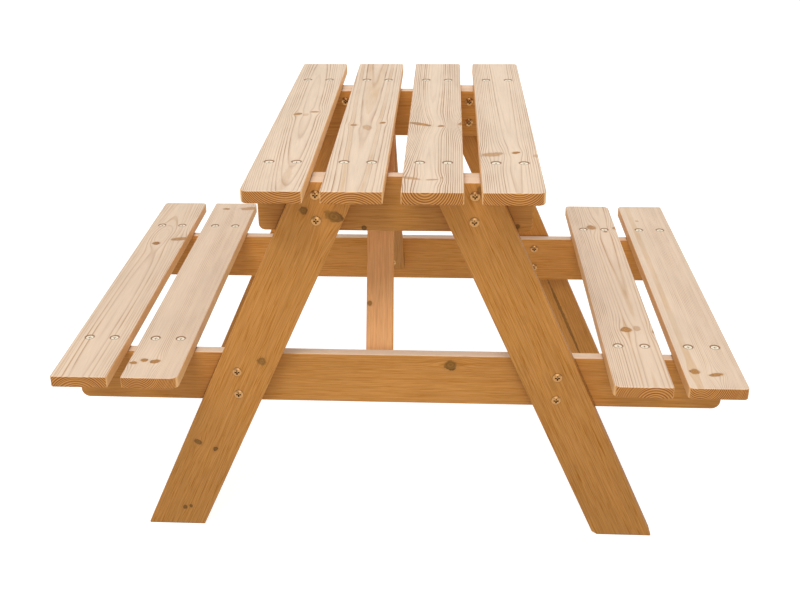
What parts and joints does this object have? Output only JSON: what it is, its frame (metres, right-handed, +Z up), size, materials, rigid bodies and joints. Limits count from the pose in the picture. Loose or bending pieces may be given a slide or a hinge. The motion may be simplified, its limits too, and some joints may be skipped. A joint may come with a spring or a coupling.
{
  "type": "picnic table",
  "caption": "Child-size wooden picnic table: slatted tabletop and a slatted bench on each side, joined by two bolted A-frames with long bearers and diagonal braces.",
  "frame": {"origin": "on the ground, under the middle of the table", "axes": "+X along the bearers from bench to bench, +Y along the boards towards the rear frame, +Z up"},
  "size_m": [0.836, 0.61, 0.51],
  "materials": {
    "board_pine": "planed, sun-pale pine",
    "frame_pine": "planed, honey-stained pine",
    "screw_metal": "bright zinc",
    "bolt_metal": "yellow zinc"
  },
  "bodies": {
    "root": {"brace_foot_screws": "screw_metal", "brace_front": "frame_pine", "brace_head_screws": "screw_metal", "brace_rear": "frame_pine", "leg_front_left": "frame_pine", "leg_front_right": "frame_pine", "leg_rear_left": "frame_pine", "leg_rear_right": "frame_pine", "seat_bearer_bolts_front": "bolt_metal", "seat_bearer_bolts_rear": "bolt_metal", "seat_bearer_front": "frame_pine", "seat_bearer_rear": "frame_pine", "seat_bearer_sleeve_nuts_front": "bolt_metal", "seat_bearer_sleeve_nuts_rear": "bolt_metal", "seat_board_left_inner": "board_pine", "seat_board_left_outer": "board_pine", "seat_board_right_inner": "board_pine", "seat_board_right_outer": "board_pine", "seat_screws_front": "screw_metal", "seat_screws_rear": "screw_metal", "tabletop_board_1": "board_pine", "tabletop_board_2": "board_pine", "tabletop_board_3": "board_pine", "tabletop_board_4": "board_pine", "tabletop_screws_front": "screw_metal", "tabletop_screws_rear": "screw_metal", "top_cleat_bolts_front": "bolt_metal", "top_cleat_bolts_rear": "bolt_metal", "top_cleat_front": "frame_pine", "top_cleat_rear": "frame_pine", "top_cleat_sleeve_nuts_front": "bolt_metal", "top_cleat_sleeve_nuts_rear": "bolt_metal"}
  },
  "joints": []
}
